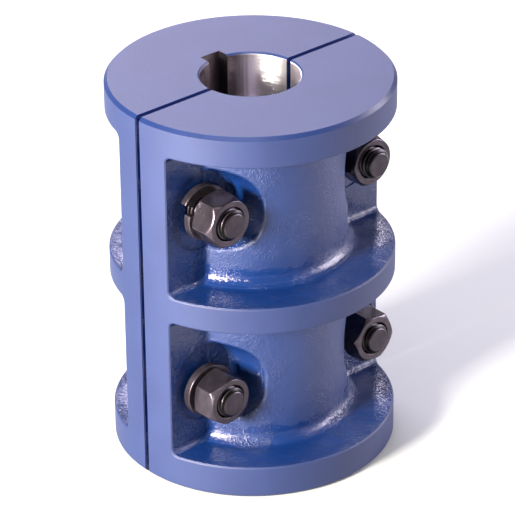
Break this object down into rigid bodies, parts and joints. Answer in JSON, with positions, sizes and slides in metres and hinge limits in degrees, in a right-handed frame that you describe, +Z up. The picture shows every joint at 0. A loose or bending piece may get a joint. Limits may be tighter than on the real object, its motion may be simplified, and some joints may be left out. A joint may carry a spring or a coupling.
{
  "type": "rigid coupling",
  "caption": "Split muff coupling: a cast sleeve in halves with end and middle rims, clamped round two shaft ends by bolts across the split, with a keyway in the bore.",
  "frame": {"origin": "on the bore axis, in the lower end face that the coupling stands on", "axes": "+Z up along the bore axis; the split between the halves is the plane Y = 0, with the nuts on the -Y half and the keyway and bolt heads on the +Y half; +X to the right when looking at the nuts"},
  "size_m": [0.1142, 0.1142, 0.1587],
  "materials": {
    "casting": "satin blue over turned and rough cast iron",
    "fastener_steel": "dark oiled steel",
    "spring_steel": "dark oiled spring steel"
  },
  "bodies": {
    "root": {"rear_half_shell": "casting", "front_half_shell": "casting", "bolt_upper_left": "fastener_steel", "bolt_upper_right": "fastener_steel", "bolt_lower_left": "fastener_steel", "bolt_lower_right": "fastener_steel", "nut_upper_left": "fastener_steel", "nut_upper_right": "fastener_steel", "nut_lower_left": "fastener_steel", "nut_lower_right": "fastener_steel", "lock_washer_upper_left": "spring_steel", "lock_washer_upper_right": "spring_steel", "lock_washer_lower_left": "spring_steel", "lock_washer_lower_right": "spring_steel"}
  },
  "joints": []
}
